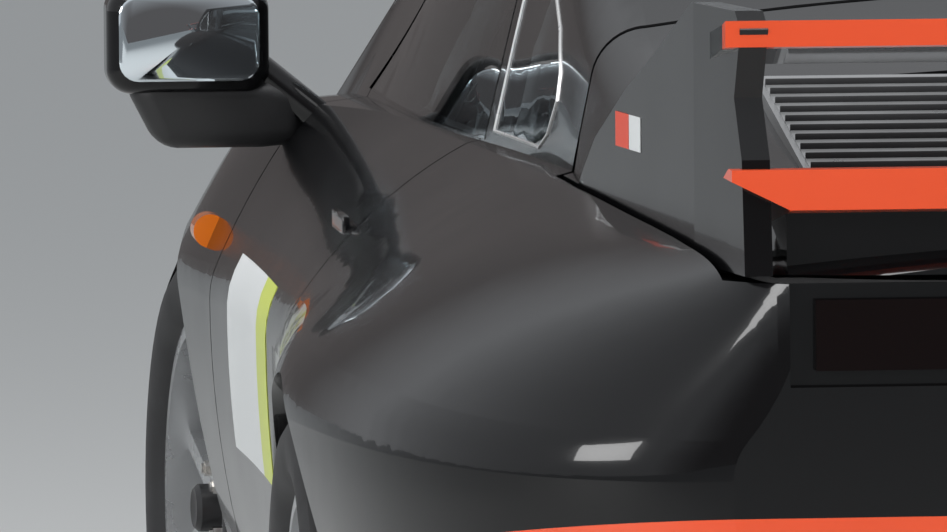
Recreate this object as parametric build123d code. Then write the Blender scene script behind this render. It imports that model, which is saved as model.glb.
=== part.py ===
from build123d import *
import math
import os

# Two-door rally coupé with its engine in the tail. Millimetres, +Z up, nose to +Y.
# The origin is on the ground, under the middle of the car's length and width.

# Driving dimensions of the whole car
LENGTH = 4160
HALF = LENGTH / 2
WHEELBASE = 2400
FRONT_AXLE_Y = 1180
REAR_AXLE_Y = FRONT_AXLE_Y - WHEELBASE
WIDE = 1100
TALL = 1400

# Wheels
TYRE_R = 322
RIM_R = 236
FRONT_TYRE_W = 225
REAR_TYRE_W = 260
FRONT_WHEEL_X = 730
REAR_WHEEL_X = 762
STUB_R = 18
HUB_R = 72
DISC_R = 160
SPOKES = 10

# Steering
KINGPIN_X = 655
KINGPIN_R = 9
REST_STEER = 6
UPPER_JOINT_Z = 462
LOWER_JOINT_Z = 190
ARM_T = 20

# Walls and gaps
SKIN = 22
ROOF_WALL = 26
DOOR_WALL = 74
GLASS = 5
SHUT_GAP = 6
LID_GAP = 8
RUN_GAP = 0.3
ARCH_R = 366
WELL_X = 440

# Shut lines
FLOOR_Z = 140
TRAY_TOP_Z = 170
SILL_TOP_Z = 229
BELT_Z = 889
DOOR_FRONT_Y = 610
DOOR_REAR_Y = -520
DOOR_SKIN_X = 836
DOOR_REAR_TAPER = 20
COWL_Y = 939
COWL_LOW_Z = 720
COWL_HALF_W = 690
NOSE_SPLIT_Y = 1660
NOSE_BAND_Z = 350
TAIL_SPLIT_Y = -1640
TAIL_BAND = ((-HALF - 1, 607), (-1950, 585), (-1850, 550), (-1640, 480))
TAIL_SPLIT_X = 470
TAIL_DEEP_Y = -1900
LID_LOW_Z = 846
BONNET_LOW_Z = 560
BONNET_LEAN = 20

# Body below the windows, one row for each cross-section from the tail to the nose:
# y, floor z, floor half-width, widest half-width, its z, corner radius, corner turn in degrees,
# belt half-width, belt z, crown z
BODY_SECTIONS = (
    (-HALF, 330, 370, 515, 644, 60, 40, 440, 835, 868),
    (-2020, 290, 510, 668, 644, 70, 40, 498, 850, 878),
    (-1850, 220, 640, 800, 648, 80, 42, 528, 864, 890),
    (-1560, 165, 700, 882, 654, 88, 46, 554, 874, 905),
    (REAR_AXLE_Y, FLOOR_Z, 735, 904, 652, 90, 50, 588, 884, 925),
    (-800, FLOOR_Z, 750, 866, 648, 110, 44, 606, 886, 935),
    (-300, FLOOR_Z, 755, 836, 645, 120, 30, 630, 884, 935),
    (250, FLOOR_Z, 752, 834, 640, 115, 28, 668, 882, 925),
    (750, FLOOR_Z, 745, 850, 630, 105, 22, 736, 866, 905),
    (FRONT_AXLE_Y, FLOOR_Z, 722, 864, 602, 105, 26, 738, 838, 858),
    (1600, 160, 690, 832, 500, 100, 34, 660, 758, 782),
    (1880, 190, 600, 735, 450, 80, 32, 560, 676, 704),
    (2020, 220, 470, 590, 430, 60, 30, 440, 618, 642),
    (HALF, 250, 330, 430, 420, 50, 30, 310, 575, 596),
)

# Cabin and fastback, one row for each cross-section from the tail to the windscreen's foot:
# y, foot half-width, side top half-width, its z, roof edge half-width, its z, crown z
CABIN_FOOT_Z = 640
CABIN_SECTIONS = (
    (-1985, 566, 494, 838, 448, 866, 886),
    (-1800, 578, 502, 868, 456, 908, 930),
    (-1500, 606, 520, 918, 468, 948, 974),
    (-1060, 622, 548, 1000, 488, 1052, 1088),
    (-600, 662, 532, 1130, 446, 1215, 1250),
    (-150, 712, 536, 1165, 452, 1252, 1285),
    (250, 738, 552, 1130, 474, 1226, 1262),
    (930, 742, 668, 850, 628, 880, 906),
)

# Shut lines in plan view, left side: half-width and y
LID_EDGE = ((560, -1085), (582, -1110), (576, -1250), (550, -1560), (526, -1850), (510, -2000), (488, -2200))
BONNET_EDGE = ((600, 945), (640, 990), (640, 1250), (560, 1560), (430, 1800), (300, 1880))
WINDSCREEN = ((-600, 868), (-440, 292), (440, 292), (600, 868))
REAR_WINDOW = ((-392, -640), (-425, -1015), (425, -1015), (392, -640))

# Side windows in side view: y and z
DOOR_WINDOW = ((640, BELT_Z), (235, 1098), (-60, 1132), (-395, 1128), (-470, BELT_Z))
QUARTER_WINDOW = ((-516, BELT_Z + 12), (-448, 1126), (-600, 1100), (-800, 1030), (-872, 985), (-890, 955),
                  (-872, 918), (-830, BELT_Z + 12))

# Tail wing and slats
LID_OPENING = (-400, 400, -1790, -1310)
SLAT_PITCH = 42
SLAT_CHORD = 40
RAIL_W = 6
RAIL_H = 24
SLAT_T = 4
SLAT_TILT = 12
DECK_FRONT_Z = 1002
DECK_REAR_Z = 920
PYLON_T = 28
PYLON_TOP_Z = 1106
PYLON_PROFILE = ((-1200, 800), (-1200, 872), (-1320, 940), (-1490, 1000), (-1670, 1052), (-1840, PYLON_TOP_Z),
                 (-2035, PYLON_TOP_Z), (-2058, 1088), (-2030, 1020), (-2062, 960), (-2078, 800))
BLADE_PROFILE = ((-1800, 1058), (-1860, 1072), (-2030, 1092), (-2030, 1068), (-1860, 1044), (-1810, 1046))
BLADE_EDGE_PROFILE = ((-2030, 1068), (-2030, 1092), (-2056, 1097), (-2056, 1071))
BLADE_HALF_W = 518
LIP_PROFILE = ((-1880, 880), (-1880, 906), (-2050, 951), (-2079, 951), (-2079, 911), (-2030, 905))
RISER_PROFILE = ((-1900, 850), (-1900, 888), (-2030, 905), (-2030, 850))
LIP_HALF_W = 515
LIP_SWEEP = 60

# Cabin fittings
SEAT_X = 345
SEAT_W = 470
SEAT_SHELL = 45
CAGE_R = 20
COLUMN_TOP = (-SEAT_X, 330, 800)
COLUMN_FOOT = (-SEAT_X, 560, 690)
STEERING_WHEEL_R = 165
STEERING_GRIP_R = 14


def body_section(y, floor_z, floor_w, wide_w, wide_z, corner_r, turn, belt_w, belt_z, crown_z, wall):
    """Closed outline of the body below the windows, moved inwards by the wall."""
    floor_z, belt_z, crown_z = floor_z + wall, belt_z - wall, crown_z - wall
    floor_w, wide_w, belt_w = floor_w - wall, wide_w - wall, belt_w - wall
    a = math.radians(turn)
    corner = (wide_w - corner_r + corner_r * math.cos(a), wide_z + corner_r * math.sin(a))
    edges = [Line((-floor_w, y, floor_z), (floor_w, y, floor_z))]
    for s in (1, -1):
        edges += [
            TangentArc((s * wide_w, y, wide_z), (s * floor_w, y, floor_z), tangent=(0, 0, -1)),
            TangentArc((s * wide_w, y, wide_z), (s * corner[0], y, corner[1]), tangent=(0, 0, 1)),
            TangentArc((s * corner[0], y, corner[1]), (s * belt_w, y, belt_z),
                       tangent=(-s * math.sin(a), 0, math.cos(a))),
        ]
    edges.append(ThreePointArc((belt_w, y, belt_z), (0, y, crown_z), (-belt_w, y, belt_z)))
    return Wire(edges)


def cabin_section(y, foot_w, side_w, side_z, edge_w, edge_z, crown_z, wall):
    """Closed outline of the cabin and fastback, moved inwards by the wall."""
    foot_w, side_w, edge_w = foot_w - wall, side_w - wall, edge_w - wall * 0.6
    side_z, edge_z, crown_z = side_z - wall * 0.4, edge_z - wall, crown_z - wall
    edges = [Line((-foot_w, y, CABIN_FOOT_Z), (foot_w, y, CABIN_FOOT_Z))]
    for s in (1, -1):
        lean = (s * (side_w - foot_w), 0, side_z - CABIN_FOOT_Z)
        edges += [
            Line((s * foot_w, y, CABIN_FOOT_Z), (s * side_w, y, side_z)),
            TangentArc((s * side_w, y, side_z), (s * edge_w, y, edge_z), tangent=lean),
        ]
    edges.append(ThreePointArc((edge_w, y, edge_z), (0, y, crown_z), (-edge_w, y, edge_z)))
    return Wire(edges)


def form(body_wall, cabin_wall):
    """The car's whole outer form, moved inwards by a wall: body and cabin in one solid."""
    rows = list(BODY_SECTIONS)
    rows[0] = (rows[0][0] + body_wall,) + rows[0][1:]
    rows[-1] = (rows[-1][0] - body_wall,) + rows[-1][1:]
    body = Solid.make_loft([body_section(*row, wall=body_wall) for row in rows])
    cabin = Solid.make_loft([cabin_section(*row, wall=cabin_wall) for row in CABIN_SECTIONS])
    return body + cabin


def block(x0, x1, y0, y1, z0, z1):
    """A box between two corners."""
    return Pos((x0 + x1) / 2, (y0 + y1) / 2, (z0 + z1) / 2) * Box(x1 - x0, y1 - y0, z1 - z0)


def side_prism(points, x0, x1):
    """A side-view outline of (y, z) points, carried across from x0 to x1."""
    face = Face(Wire.make_polygon([(x0, y, z) for y, z in points], close=True))
    return Solid.extrude(face, Vector(x1 - x0, 0, 0))


def plan_prism(points, z0, z1, lean=0):
    """A plan-view outline of (x, y) points, carried up from z0 to z1, leaning to the nose."""
    shift = (z1 - z0) * math.tan(math.radians(lean))
    face = Face(Wire.make_polygon([(x, y, z0) for x, y in points], close=True))
    return Solid.extrude(face, Vector(0, shift, z1 - z0))


def front_prism(points, y0, y1):
    """A front-view outline of (x, z) points, carried along from y0 to y1."""
    face = Face(Wire.make_polygon([(x, y0, z) for x, z in points], close=True))
    return Solid.extrude(face, Vector(0, y1 - y0, 0))


def both_sides(edge, gap, ends):
    """A plan outline from its left half, wider by the gap; the listed ends move out too."""
    left = [(-(x + gap), y + gap * ends.get(i, 0)) for i, (x, y) in enumerate(edge)]
    return left + [(-x, y) for x, y in reversed(left)]


def lid_prism(gap, low_z):
    """Space of the rear lid."""
    return plan_prism(both_sides(LID_EDGE, gap, {0: 1, 1: 1}), low_z, TALL)


def bonnet_prism(gap):
    """Space of the bonnet. Its ends lean forward, so that the nose end swings clear."""
    last = len(BONNET_EDGE) - 1
    back = (880 - BONNET_LOW_Z) * math.tan(math.radians(BONNET_LEAN))
    points = [(x, y - back) for x, y in both_sides(BONNET_EDGE, gap, {0: -1, 1: -1, last - 1: 1, last: 1})]
    return plan_prism(points, BONNET_LOW_Z, 1000, lean=BONNET_LEAN)


def door_rear_y(x):
    """Shut line at the door's tail end, which runs forward towards the car's middle."""
    return DOOR_REAR_Y + (DOOR_SKIN_X - x) * math.tan(math.radians(DOOR_REAR_TAPER))


def door_prism(gap):
    """Space of the left door below the belt."""
    inner_x = 420
    plan = [(-WIDE, DOOR_FRONT_Y + gap), (-inner_x, DOOR_FRONT_Y + gap),
            (-inner_x, door_rear_y(inner_x) - gap), (-WIDE, door_rear_y(WIDE) - gap)]
    return plan_prism(plan, SILL_TOP_Z + SHUT_GAP - gap, BELT_Z + gap)


def rod(start, end, radius):
    """A straight round bar between two points."""
    start, end = Vector(*start), Vector(*end)
    return Plane(start, z_dir=end - start) * Cylinder(
        radius, (end - start).length, align=(Align.CENTER, Align.CENTER, Align.MIN))


def bent_rod(points, radius, bend):
    """A round bar along straight runs with round bends."""
    path = FilletPolyline(*points, radius=bend)
    return sweep(Plane(path @ 0, z_dir=path % 0) * Circle(radius), path)


def mirrored(shape):
    """The same piece on the other side of the car."""
    return mirror(shape, about=Plane.YZ)


def pair(shape):
    """A piece and its mirror image in one node."""
    return Compound(children=[*shape.solids(), *mirrored(shape).solids()])


def fused(first, *others):
    """Several shapes joined into one."""
    for other in others:
        first = first + other
    return first


parts = {}

outer = form(0, 0)
inner = form(SKIN, ROOF_WALL)
skin = outer - inner
left_space = block(-WIDE, 0, -3 * WIDE, 3 * WIDE, 0, TALL)
left_skin = skin & left_space
left_outer = outer & left_space

lid_space = lid_prism(0, LID_LOW_Z)
lid_hole = lid_prism(LID_GAP, LID_LOW_Z - LID_GAP)
bonnet_space = bonnet_prism(0)
bonnet_hole = bonnet_prism(SHUT_GAP)
door_space = door_prism(0)
door_hole = door_prism(SHUT_GAP)
door_window = side_prism(DOOR_WINDOW, -WIDE, 0)
quarter_window = side_prism(QUARTER_WINDOW, -WIDE, 0)
windscreen_hole = plan_prism(WINDSCREEN, COWL_LOW_Z, TALL)
rear_window_hole = plan_prism(REAR_WINDOW, BELT_Z, TALL)
cowl_space = block(-COWL_HALF_W, COWL_HALF_W, DOOR_FRONT_Y + SHUT_GAP, COWL_Y, COWL_LOW_Z, TALL)
wells = [
    Pos(-WIDE / 2 - WELL_X / 2, y, TYRE_R) * Rot(0, 90, 0) * Cylinder(ARCH_R, WIDE - WELL_X)
    for y in (FRONT_AXLE_Y, REAR_AXLE_Y)
]

# Left half of the fixed skin: everything that isn't lid, bonnet, door or wheel arch
fixed_skin = left_skin - lid_hole - bonnet_hole - door_hole
for well in wells:
    fixed_skin = fixed_skin - well

# Front fender
fender_space = block(-WIDE, 0, DOOR_FRONT_Y + SHUT_GAP, NOSE_SPLIT_Y, TRAY_TOP_Z, BELT_Z)
front_fender = (fixed_skin & fender_space) - cowl_space - block(-600, 0, COWL_Y, COWL_Y + 20, COWL_LOW_Z, TALL)
parts["front_fender_left"] = front_fender
parts["front_fender_right"] = mirrored(front_fender)

# Rear fender, which wraps round the tail's corner
quarter_space = plan_prism(
    [(-WIDE, door_rear_y(WIDE) - SHUT_GAP), (0, door_rear_y(0) - SHUT_GAP), (0, -HALF - 1), (-WIDE, -HALF - 1)],
    TRAY_TOP_Z, BELT_Z)
sill_space = block(-WIDE, 0, DOOR_REAR_Y - 130, DOOR_FRONT_Y + SHUT_GAP, 0, SILL_TOP_Z)
tail_centre = block(-TAIL_SPLIT_X, 0, -HALF - 1, TAIL_DEEP_Y, 0, BELT_Z)
tail_band = side_prism([*TAIL_BAND, (TAIL_SPLIT_Y, 0), (-HALF - 1, 0)], -WIDE, 0)
rear_fender = (fixed_skin & quarter_space) - sill_space - tail_centre - tail_band
parts["rear_fender_left"] = rear_fender
parts["rear_fender_right"] = mirrored(rear_fender)

# Tail: black panel with a recess for the lamps, over the orange band that wraps round to the arches
TAIL_PANEL_Z = 722
RECESS = 16
LAMP_X = (230, 432)
LAMP_Z = (752, 822)
tail_half = (fixed_skin & tail_centre) - tail_band
tail_panel = tail_half + mirrored(tail_half)
recess = block(-TAIL_SPLIT_X + 12, TAIL_SPLIT_X - 12, -HALF - 1, -HALF + RECESS, TAIL_PANEL_Z + 14, LID_LOW_Z)
parts["rear_bumper"] = tail_panel - recess
EXHAUST_X = 120
EXHAUST_Z = 400
EXHAUST_R = 44
band_half = fixed_skin & tail_band
tail_valance = band_half + mirrored(band_half)
for s in (1, -1):
    tail_valance = tail_valance - Pos(s * EXHAUST_X, -HALF, EXHAUST_Z) * Rot(90, 0, 0) * Cylinder(EXHAUST_R + 8, 400)
parts["rear_valance"] = tail_valance
lamp = block(-LAMP_X[1], -LAMP_X[0], -HALF + 2, -HALF + RECESS, LAMP_Z[0], LAMP_Z[1])
parts["tail_lamps"] = pair(lamp)

# Nose: black bumper with an air intake, over an orange band; round lamps let into it
LAMP_R = 82
LAMP_AT = (-520, 1780, 610)
nose_space = block(-WIDE, 0, NOSE_SPLIT_Y, HALF + 1, 0, TALL)
lamp_bore = Pos(*LAMP_AT) * Rot(90, 0, 0) * Cylinder(LAMP_R, 520)
nose_half = fixed_skin & nose_space
nose_upper = nose_half & block(-WIDE, 0, NOSE_SPLIT_Y, HALF + 1, NOSE_BAND_Z, TALL)
nose_lower = nose_half & block(-WIDE, 0, NOSE_SPLIT_Y, HALF + 1, 0, NOSE_BAND_Z)
parts["headlamps"] = pair(nose_upper & lamp_bore)
nose_upper = nose_upper - lamp_bore
nose_upper = nose_upper + mirrored(nose_upper)
parts["front_bumper"] = nose_upper - block(-300, 300, HALF - 100, HALF + 1, 440, 520)
parts["front_valance"] = nose_lower + mirrored(nose_lower)

# Cabin frame: roof, pillars and cowl in one pressing
frame_space = block(-WIDE, 0, -1300, DOOR_FRONT_Y + SHUT_GAP, BELT_Z, TALL)
frame_half = fixed_skin & (frame_space + (cowl_space & left_space))
for hole in (door_window, quarter_window, windscreen_hole, rear_window_hole):
    frame_half = frame_half - hole
cabin_frame = frame_half + mirrored(frame_half)
parts["cabin_frame"] = cabin_frame

# Fixed glass, bonded into the cabin frame
glass_inner = form(GLASS, GLASS)
windscreen = (outer & windscreen_hole) - glass_inner
rear_window = (outer & rear_window_hole) - glass_inner
quarter_glass = (left_outer & quarter_window) - glass_inner
parts["fixed_glass"] = Compound(children=[
    *windscreen.solids(), *rear_window.solids(), *quarter_glass.solids(), *mirrored(quarter_glass).solids()])

# Platform: undertray, sills, door posts and bulkheads in one welded piece
tray = left_skin & block(-WIDE, 0, TAIL_SPLIT_Y, NOSE_SPLIT_Y, 0, TRAY_TOP_Z)
sill_skin = left_skin & sill_space
front_post = front_prism([(-690, 150), (-795, 150), (-808, 560), (-770, 700), (-725, 790), (-690, 830)],
                         DOOR_FRONT_Y + SHUT_GAP, 740)
rear_post = front_prism([(-640, 150), (-795, 150), (-800, 560), (-765, 680), (-715, 750), (-655, 810), (-640, 810)],
                        -640, -380)
rear_post = rear_post & quarter_space
sill_box = block(-790, -690, -640, 740, 150, SILL_TOP_Z)
floor_half = block(-730, 0, TAIL_SPLIT_Y + 60, 1560, 150, TRAY_TOP_Z)
scuttle = block(-690, 0, 745, 770, 150, 800)
bulkhead = block(-640, 0, -960, -935, 150, 850)
rail = block(-430, -385, 765, 1640, 165, 420)
tail_rail = block(-430, -385, TAIL_SPLIT_Y + 5, -950, 165, 420)
frame = fused(front_post, rear_post, sill_box, floor_half, scuttle, bulkhead, rail, tail_rail) & inner
platform = fused(tray, sill_skin, frame)
for y in (FRONT_AXLE_Y, REAR_AXLE_Y):
    platform = platform - block(-WIDE, -WELL_X, y - ARCH_R - 14, y + ARCH_R + 14, 0, 700)
platform = platform - door_hole
platform = platform + mirrored(platform)
parts["platform"] = platform

# Doors, each with a dropped-in window pane and a mirror on its shoulder
door = (left_outer & door_space) - form(DOOR_WALL, ROOF_WALL)
parts["door_left"] = door
parts["door_right"] = mirrored(door)
pane_outline = ((610 - SHUT_GAP, BELT_Z), (232, 1098 - SHUT_GAP), (-60, 1132 - SHUT_GAP),
                (-393 + SHUT_GAP, 1128 - SHUT_GAP), (-470 + SHUT_GAP, BELT_Z))
pane = (left_outer & side_prism(pane_outline, -WIDE, 0)) - glass_inner
parts["door_glass_left"] = pane
parts["door_glass_right"] = mirrored(pane)

MIRROR_AT = (-872, 590, 955)
MIRROR_SIZE = (200, 105, 132)
mirror_shell = Pos(*MIRROR_AT) * fillet(Box(*MIRROR_SIZE).edges(), 30)
mirror_foot = rod((-690, 575, 840), (-800, 585, 930), 20) - outer
mirror_piece = (mirror_shell + mirror_foot)
parts["mirror_left"] = mirror_piece
parts["mirror_right"] = mirrored(mirror_piece)

# Bonnet and rear lid
parts["bonnet"] = skin & bonnet_space
opening = block(*LID_OPENING, LID_LOW_Z - 60, TALL)
lid = (skin & lid_space) - opening

# Slats across the lid's opening
slats = []
count = int((LID_OPENING[3] - LID_OPENING[2]) / SLAT_PITCH)
deck_fall = (DECK_FRONT_Z - DECK_REAR_Z) / (LID_OPENING[3] - LID_OPENING[2])
for i in range(count):
    y = LID_OPENING[3] - 9 - SLAT_PITCH * (i + 0.5)
    z = DECK_FRONT_Z + (y - LID_OPENING[3]) * deck_fall
    slats.append(Pos(0, y, z) * Rot(SLAT_TILT, 0, 0) * Box(2 * (LID_OPENING[1] - RAIL_W), SLAT_CHORD, SLAT_T))
rail_profile = [(LID_OPENING[3], DECK_FRONT_Z), (LID_OPENING[2], DECK_REAR_Z),
                (LID_OPENING[2], DECK_REAR_Z - RAIL_H), (LID_OPENING[3], DECK_FRONT_Z - RAIL_H)]
slat_rail = side_prism(rail_profile, LID_OPENING[0], LID_OPENING[0] + RAIL_W)
parts["lid_slats"] = fused(slat_rail, mirrored(slat_rail), *slats)

# Wing: two pylons along the lid's edges, a blade with a separate trailing edge, and a lip on the tail's riser
left_edge = [(-x, y) for x, y in LID_EDGE[1:]]
right_edge = [(x + PYLON_T, y) for x, y in left_edge]
band = plan_prism(left_edge + right_edge[::-1], LID_LOW_Z, TALL)
pylon = (side_prism(PYLON_PROFILE, -WIDE, 0) & band) - outer
pylons = pair(pylon)
riser = side_prism(RISER_PROFILE, LIP_SWEEP - LIP_HALF_W, LIP_HALF_W - LIP_SWEEP) - outer - pylons
parts["rear_lid"] = lid + riser
lip = side_prism(LIP_PROFILE, -LIP_HALF_W, LIP_HALF_W) - outer - pylons - riser
sweep_under = front_prism([(-LIP_HALF_W - 1, 860), (-LIP_HALF_W - 1, 940), (LIP_SWEEP - LIP_HALF_W, 910),
                           (LIP_SWEEP - LIP_HALF_W, 860)], -HALF, -1870)
parts["wing_lip"] = lip - sweep_under - mirrored(sweep_under)
parts["wing_pylons"] = pylons
parts["wing_blade"] = side_prism(BLADE_PROFILE, -BLADE_HALF_W, BLADE_HALF_W) - pylons
parts["wing_edge"] = side_prism(BLADE_EDGE_PROFILE, -BLADE_HALF_W, BLADE_HALF_W) - pylons

# Round side repeaters on the front fenders
repeater = Pos(-832, 800, 705) * Rot(90, 0, 0) * Cylinder(21, 60)
parts["side_repeaters"] = pair(repeater - outer)

# Roll cage: main hoop, front hoop, roof and tail stays
hoop_y = -395
hoop = bent_rod([(-620, hoop_y, TRAY_TOP_Z), (-585, hoop_y, 800), (-455, hoop_y, 1150), (455, hoop_y, 1150),
                 (585, hoop_y, 800), (620, hoop_y, TRAY_TOP_Z)], CAGE_R, 60)
side_bar = bent_rod([(-600, 590, TRAY_TOP_Z), (-595, 640, 780), (-462, 225, 1122), (-448, hoop_y, 1150)],
                    CAGE_R, 60)
stay = rod((-445, hoop_y, 1140), (-420, -925, 780), CAGE_R - 2)
header = rod((-456, 232, 1115), (456, 232, 1115), CAGE_R - 2)
cross = rod((-580, hoop_y, 820), (580, hoop_y, 820), CAGE_R - 2)
cage = fused(hoop, side_bar, mirrored(side_bar), stay, mirrored(stay), header, cross)
parts["roll_cage"] = cage & block(-WIDE, WIDE, -935, 745, TRAY_TOP_Z, TALL)

# Dashboard with the steering column
dash = side_prism([(520, 700), (600, 640), (745, 640), (745, 790), (600, 820), (535, 800)], -548, 548)
column = rod(COLUMN_TOP, COLUMN_FOOT, 22)
axis = (Vector(*COLUMN_TOP) - Vector(*COLUMN_FOOT)).normalized()
spindle = rod(COLUMN_TOP, tuple(Vector(*COLUMN_TOP) + axis * 40), 9)
parts["dashboard"] = fused(dash, column, spindle)

# Steering wheel
hub_plane = Plane(Vector(*COLUMN_TOP) + axis * 8, z_dir=axis)
grip = Pos(0, 0, 14) * Torus(STEERING_WHEEL_R, STEERING_GRIP_R)
boss = Cylinder(34, 26, align=(Align.CENTER, Align.CENTER, Align.MIN))
wheel = fused(grip, boss)
for angle in (90, 210, 330):
    wheel = wheel + Rot(0, 0, angle) * Pos(STEERING_WHEEL_R / 2 + 8, 0, 14) * Box(STEERING_WHEEL_R - 10, 30, 5)
wheel = wheel - Cylinder(9 + RUN_GAP, 200)
parts["steering_wheel"] = hub_plane * wheel

# Two bucket seats on the floor
seat_profile = ((250, TRAY_TOP_Z), (260, 420), (200, 440), (-60, 360), (-120, 400), (-290, 900), (-340, 900),
                (-300, 700), (-230, TRAY_TOP_Z))
scoop_profile = ((261, 421), (200, 400), (-60, 318), (-118, 340), (-150, 400), (-291, 860), (-240, 901),
                 (300, 901))
half_w = SEAT_W / 2
side_profile = ((250, TRAY_TOP_Z), (260, 470), (40, 480), (-60, 640), (-160, 900), (-340, 900), (-300, 700),
                (-230, TRAY_TOP_Z))
seat = side_prism(side_profile, SEAT_X - half_w, SEAT_X + half_w)
seat = seat - side_prism(scoop_profile, SEAT_X - half_w + SEAT_SHELL, SEAT_X + half_w - SEAT_SHELL)
parts["bucket_seats"] = pair(seat)

# Engine block behind the rear axle, on the tail rails, with its exhaust
ENGINE = (-300, 300, -1900, -1330, 300, 780)
engine = block(*ENGINE)
engine_legs = block(-430, 430, -1500, -1440, 420, 460)
parts["engine_block"] = fused(engine, engine_legs)
pipes = []
for s in (1, -1):
    pipe = rod((s * EXHAUST_X, -1900, EXHAUST_Z), (s * EXHAUST_X, -HALF - 20, EXHAUST_Z), EXHAUST_R)
    bore = rod((s * EXHAUST_X, -1990, EXHAUST_Z), (s * EXHAUST_X, -HALF - 21, EXHAUST_Z), EXHAUST_R - 4)
    pipes.append(pipe - bore)
parts["exhaust"] = Compound(children=pipes)


def wishbone(y, z, tip_x, pin_r):
    """Flat two-legged arm from the rail to a ball joint."""
    legs = [plan_prism([(-430, y + s * 130), (-430, y + s * 90), (-tip_x - 22, y), (-tip_x, y + s * 24)],
                       z - ARM_T / 2, z + ARM_T / 2) for s in (1, -1)]
    eye = Pos(-tip_x, y, z) * Cylinder(24, ARM_T)
    return fused(legs[0], legs[1], eye) - Pos(-tip_x, y, z) * Cylinder(pin_r, 60)


front_arms = [wishbone(FRONT_AXLE_Y, z, KINGPIN_X, KINGPIN_R + RUN_GAP) for z in (LOWER_JOINT_Z, UPPER_JOINT_Z - 60)]
rear_arms = [wishbone(REAR_AXLE_Y, z, KINGPIN_X, KINGPIN_R) for z in (LOWER_JOINT_Z, UPPER_JOINT_Z - 60)]
upright_h = UPPER_JOINT_Z - 60 - LOWER_JOINT_Z - ARM_T - 2
upright = Pos(-KINGPIN_X, 0, LOWER_JOINT_Z + ARM_T / 2 + 1 + upright_h / 2) * Box(46, 90, upright_h)
kingpin = Pos(-KINGPIN_X, 0, (LOWER_JOINT_Z + UPPER_JOINT_Z - 60) / 2) * Cylinder(
    KINGPIN_R, UPPER_JOINT_Z - 60 - LOWER_JOINT_Z + ARM_T)


def carrier(wheel_x, wheel_w):
    """Upright with its pins and the stub axle that the wheel turns on."""
    stub_end = wheel_x + wheel_w / 2 - 40
    stub = rod((-KINGPIN_X, 0, TYRE_R), (-stub_end, 0, TYRE_R), STUB_R)
    return fused(upright, kingpin, stub)


steer = Pos(-KINGPIN_X, FRONT_AXLE_Y, 0) * Rot(0, 0, REST_STEER) * Pos(KINGPIN_X, 0, 0)
steer_right = Pos(KINGPIN_X, FRONT_AXLE_Y, 0) * Rot(0, 0, REST_STEER) * Pos(-KINGPIN_X, 0, 0)
knuckle = carrier(FRONT_WHEEL_X, FRONT_TYRE_W)
parts["knuckle_left"] = steer * knuckle
parts["knuckle_right"] = steer_right * mirrored(knuckle)
rear_hub = Pos(0, REAR_AXLE_Y, 0) * carrier(REAR_WHEEL_X, REAR_TYRE_W)
rear_side = fused(rear_hub, *rear_arms)
parts["suspension"] = Compound(children=[
    *[s for arm in front_arms for s in pair(arm).solids()], *rear_side.solids(), *mirrored(rear_side).solids()])


def rim(width):
    """Alloy rim with flat spokes and the brake disc behind them, axis along Z, outer face up."""
    barrel = Cylinder(RIM_R, width) - Cylinder(RIM_R - 12, width)
    flange = Pos(0, 0, width / 2 - 6) * (Cylinder(RIM_R + 12, 8) - Cylinder(RIM_R - 12, 8))
    hub = Pos(0, 0, width / 2 - 60) * Cylinder(HUB_R, 60)
    wheel = fused(barrel, flange, hub)
    for i in range(SPOKES):
        spoke = Pos((RIM_R + HUB_R) / 2 - 6, 0, width / 2 - 42) * Box(RIM_R - HUB_R + 8, 26, 26)
        wheel = wheel + Rot(0, 0, i * 360 / SPOKES) * spoke
    disc = Pos(0, 0, width / 2 - 102) * Cylinder(DISC_R, 26)
    return fused(wheel, disc) - Cylinder(STUB_R + RUN_GAP, 2 * width)


def tyre(width):
    """Low road tyre with rounded shoulders, axis along Z."""
    half = width / 2
    bead = half - 27
    one_side = [(RIM_R + RUN_GAP, bead), (RIM_R + 14, bead), (RIM_R + 32, half), (TYRE_R - 22, half),
                (TYRE_R, half - 24)]
    profile = Polyline(*one_side, *[(r, -z) for r, z in reversed(one_side)], close=True)
    face = Plane.XZ * make_face(profile.edges())
    return revolve(face, Axis.Z)


for end, y, wheel_x, width in (("front", FRONT_AXLE_Y, FRONT_WHEEL_X, FRONT_TYRE_W),
                               ("rear", REAR_AXLE_Y, REAR_WHEEL_X, REAR_TYRE_W)):
    lay = Pos(-wheel_x, 0, TYRE_R) * Rot(0, -90, 0)
    rim_piece = lay * rim(width - 30)
    tyre_piece = lay * tyre(width)
    for side in ("left", "right"):
        for name, piece in (("rim", rim_piece), ("tyre", tyre_piece)):
            piece = piece if side == "left" else mirrored(piece)
            if end == "front":
                piece = (steer if side == "left" else steer_right) * piece
            else:
                piece = Pos(0, y, 0) * piece
            parts[f"{end}_{name}_{side}"] = piece

# Towing eyes bolted to the flat ends of nose and tail
eyes = []
for s, x, z in ((1, 200, 470), (-1, -300, 470)):
    plate = block(x - 8, x + 8, min(s * HALF, s * (HALF + 40)), max(s * HALF, s * (HALF + 40)), z - 35, z + 35)
    ring = Pos(x, s * (HALF + 25), z) * Rot(0, 90, 0) * Cylinder(35, 16)
    eye = (ring + plate) & block(-WIDE, WIDE, min(s * HALF, s * 2300), max(s * HALF, s * 2300), 0, TALL)
    eyes.append(eye - Pos(x, s * (HALF + 28), z) * Rot(0, 90, 0) * Cylinder(20, 40))
parts["towing_eyes"] = Compound(children=[e for eye in eyes for e in eye.solids()])

os.makedirs("parts", exist_ok=True)
for name, shape in parts.items():
    export_step(shape, f"parts/{name}.step")
    print(name, len(shape.solids()), round(shape.volume / 1e6, 3))
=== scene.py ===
import bpy
import math
from mathutils import Matrix, Vector


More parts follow.
